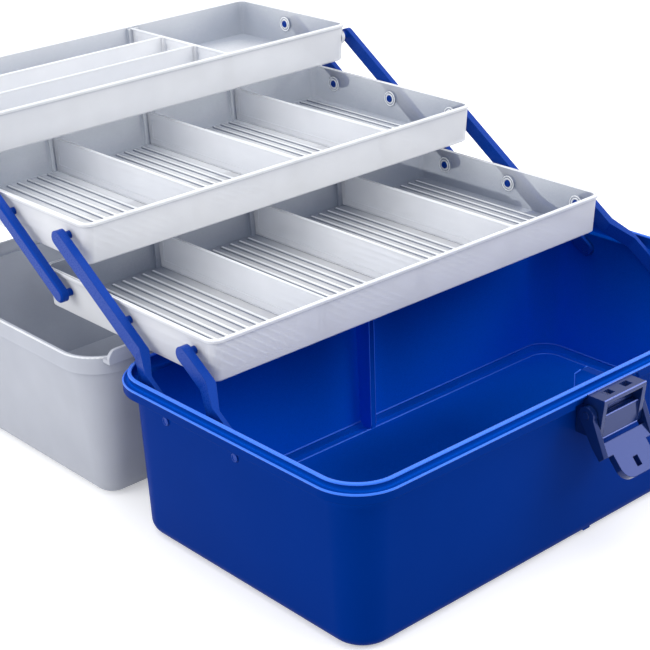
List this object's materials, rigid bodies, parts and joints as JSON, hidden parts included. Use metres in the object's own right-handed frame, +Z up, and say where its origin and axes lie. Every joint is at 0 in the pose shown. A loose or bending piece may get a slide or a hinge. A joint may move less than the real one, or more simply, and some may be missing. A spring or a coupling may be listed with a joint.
{
  "type": "tackle box",
  "caption": "Cantilever fishing tackle box standing open, with a tub, hinged lid, trays on folding arms, dividers, front latch and fold-flat handle.",
  "frame": {"origin": "centre of the tub's foot, on the surface it stands on", "axes": "+X along the tub to its right-hand end, -Y towards the latch, +Y towards the hinge, +Z up"},
  "size_m": [0.389, 0.5445, 0.2139],
  "materials": {
    "tub_plastic": "smooth injection moulded blue polypropylene",
    "arm_plastic": "injection moulded blue polypropylene",
    "handle_plastic": "injection moulded blue polypropylene",
    "latch_plastic": "injection moulded navy acetal",
    "rivet_plastic": "moulded blue plastic rivets",
    "lid_plastic": "milky translucent polypropylene",
    "tray_plastic": "milky translucent polypropylene",
    "divider_plastic": "milky translucent polypropylene",
    "steel": "drawn wire"
  },
  "bodies": {
    "base": {"base_tub": "tub_plastic", "hinge_pins": "steel", "base_rivets": "rivet_plastic", "latch_bracket": "latch_plastic", "latch_pin": "rivet_plastic"},
    "lid": {"lid": "lid_plastic", "handle_pins": "steel"},
    "handle": {"handle": "handle_plastic"},
    "latch_lever": {"latch_lever": "latch_plastic"},
    "lower_long_arms": {"arm_lower_long_left": "arm_plastic", "arm_lower_long_right": "arm_plastic"},
    "lower_short_arms": {"arm_lower_short_left": "arm_plastic", "arm_lower_short_right": "arm_plastic"},
    "upper_long_arms": {"arm_upper_long_left": "arm_plastic", "arm_upper_long_right": "arm_plastic"},
    "upper_short_arms": {"arm_upper_short_left": "arm_plastic", "arm_upper_short_right": "arm_plastic"},
    "tray_bottom": {"tray_bottom": "tray_plastic", "tray_bottom_divider_1": "divider_plastic", "tray_bottom_divider_2": "divider_plastic", "tray_bottom_divider_3": "divider_plastic"},
    "tray_middle": {"tray_middle": "tray_plastic", "tray_middle_divider_1": "divider_plastic", "tray_middle_divider_2": "divider_plastic", "tray_middle_divider_3": "divider_plastic"},
    "tray_top": {"tray_top": "tray_plastic", "tray_top_divider_1": "divider_plastic", "tray_top_long_divider_1": "divider_plastic", "tray_top_long_divider_2": "divider_plastic"}
  },
  "joints": [
    {"name": "lid_hinge", "type": "hinge", "parent": "base", "child": "lid", "pos_m": [0, 0.1151, 0.1025], "axis": [1, 0, 0], "range_deg": [0, 119.5]},
    {"name": "lower_long_pivot", "type": "hinge", "parent": "base", "child": "lower_long_arms", "pos_m": [0, 0.0582, 0.08706], "axis": [1, 0, 0], "range_deg": [0, 119.5]},
    {"name": "lower_short_pivot", "type": "hinge", "parent": "base", "child": "lower_short_arms", "pos_m": [0, -0.0037, 0.08706], "axis": [1, 0, 0], "range_deg": [0, 119.5]},
    {"name": "tray_bottom_pivot", "type": "hinge", "parent": "lower_long_arms", "child": "tray_bottom", "pos_m": [0, 0.11561, 0.12659], "axis": [1, 0, 0], "range_deg": [-119.5, 0]},
    {"name": "tray_middle_pivot", "type": "hinge", "parent": "lower_long_arms", "child": "tray_middle", "pos_m": [0, 0.17227, 0.16561], "axis": [1, 0, 0], "range_deg": [-119.5, 0]},
    {"name": "upper_long_pivot", "type": "hinge", "parent": "tray_bottom", "child": "upper_long_arms", "pos_m": [0, 0.17751, 0.12659], "axis": [1, 0, 0], "range_deg": [0, 119.5]},
    {"name": "upper_short_pivot", "type": "hinge", "parent": "tray_middle", "child": "upper_short_arms", "pos_m": [0, 0.29607, 0.16561], "axis": [1, 0, 0], "range_deg": [0, 119.5]},
    {"name": "tray_top_pivot", "type": "hinge", "parent": "upper_long_arms", "child": "tray_top", "pos_m": [0, 0.28944, 0.20366], "axis": [1, 0, 0], "range_deg": [-119.5, 0]},
    {"name": "latch_lever_pivot", "type": "hinge", "parent": "base", "child": "latch_lever", "pos_m": [0, -0.1114, 0.0907], "axis": [1, 0, 0], "range_deg": [-140, 35]},
    {"name": "handle_pivot", "type": "hinge", "parent": "lid", "child": "handle", "pos_m": [0, 0.21815, 0.0051], "axis": [1, 0, 0], "range_deg": [-90, 0]}
  ],
  "couplings": [
    {"joint": "lower_long_pivot", "follows": "lid_hinge", "ratio": 1},
    {"joint": "lower_short_pivot", "follows": "lid_hinge", "ratio": 1},
    {"joint": "tray_bottom_pivot", "follows": "lid_hinge", "ratio": -1},
    {"joint": "tray_middle_pivot", "follows": "lid_hinge", "ratio": -1},
    {"joint": "upper_long_pivot", "follows": "lid_hinge", "ratio": 1},
    {"joint": "upper_short_pivot", "follows": "lid_hinge", "ratio": 1},
    {"joint": "tray_top_pivot", "follows": "lid_hinge", "ratio": -1}
  ]
}
